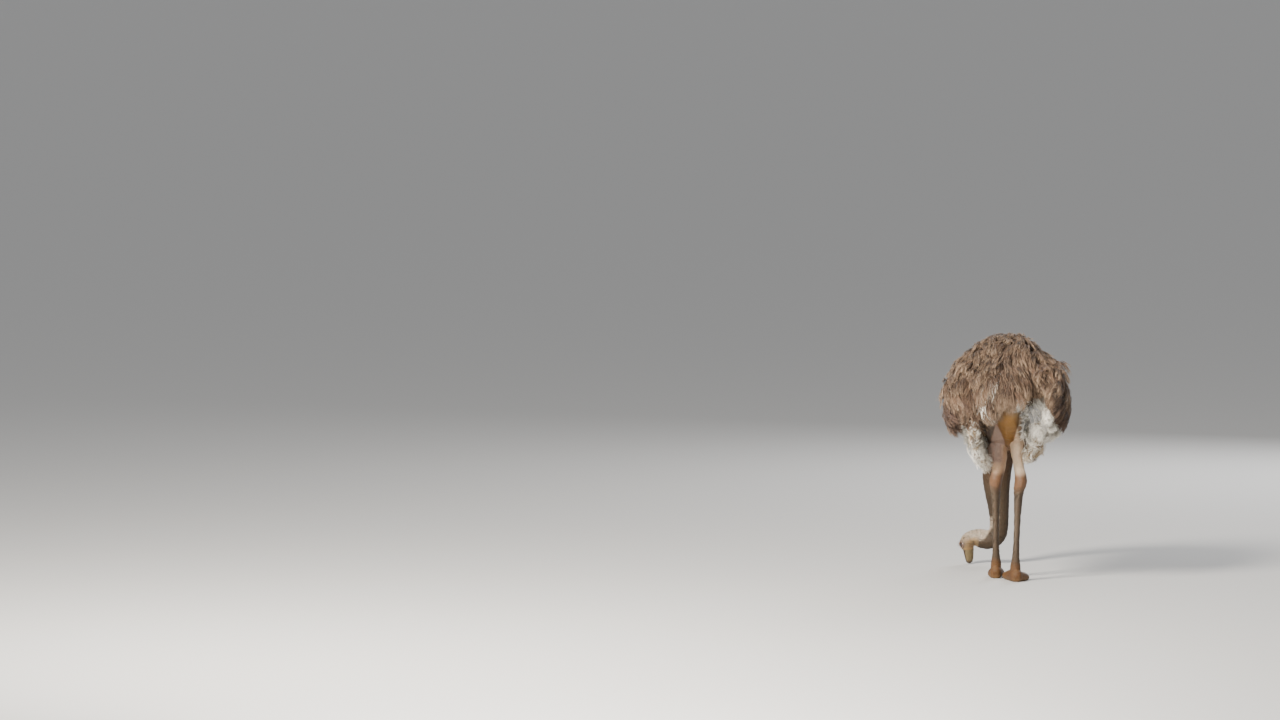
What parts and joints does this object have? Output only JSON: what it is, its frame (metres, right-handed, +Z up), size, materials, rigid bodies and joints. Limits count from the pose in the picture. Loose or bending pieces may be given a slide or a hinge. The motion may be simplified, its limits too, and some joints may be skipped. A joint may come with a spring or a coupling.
{
  "type": "ostrich",
  "caption": "Life-size grazing hen ostrich, head lowered to the ground, with a round shaggy brown body, pale flank plumes, long bare legs and broad flat toes.",
  "frame": {"origin": "the middle of the bird's outline, on the floor it stands on", "axes": "+Z up, +Y the way the bird faces, +X to the bird's right"},
  "size_m": [0.6946, 1.4142, 1.2994],
  "materials": {
    "plume_brown": "loose dull brown plumes with paler tips",
    "plume_white": "loose soft cream-white plumes",
    "neck_down": "grey-brown skin under short hair-like down",
    "thigh_skin": "bare grey-pink skin, finely wrinkled",
    "shank_scale": "grey-brown horny scales",
    "foot_scale": "horny scales dusted with ochre earth",
    "horn": "worn brown horn",
    "eye_gloss": "wet, very dark brown"
  },
  "bodies": {
    "root": {"trunk": "plume_brown", "wing_left": "plume_brown", "wing_right": "plume_brown", "tail": "plume_brown", "flank_left": "plume_white", "flank_right": "plume_white", "neck_base": "neck_down", "neck_lower": "neck_down", "neck_middle": "neck_down", "neck_upper": "neck_down", "head": "neck_down", "bill_upper": "horn", "bill_lower": "horn", "eye_left": "eye_gloss", "eye_right": "eye_gloss", "thigh_left": "thigh_skin", "thigh_right": "thigh_skin", "shank_left": "shank_scale", "shank_right": "shank_scale", "toe_big_left": "foot_scale", "toe_big_right": "foot_scale", "toe_small_left": "foot_scale", "toe_small_right": "foot_scale", "claw_left": "horn", "claw_right": "horn"}
  },
  "joints": []
}
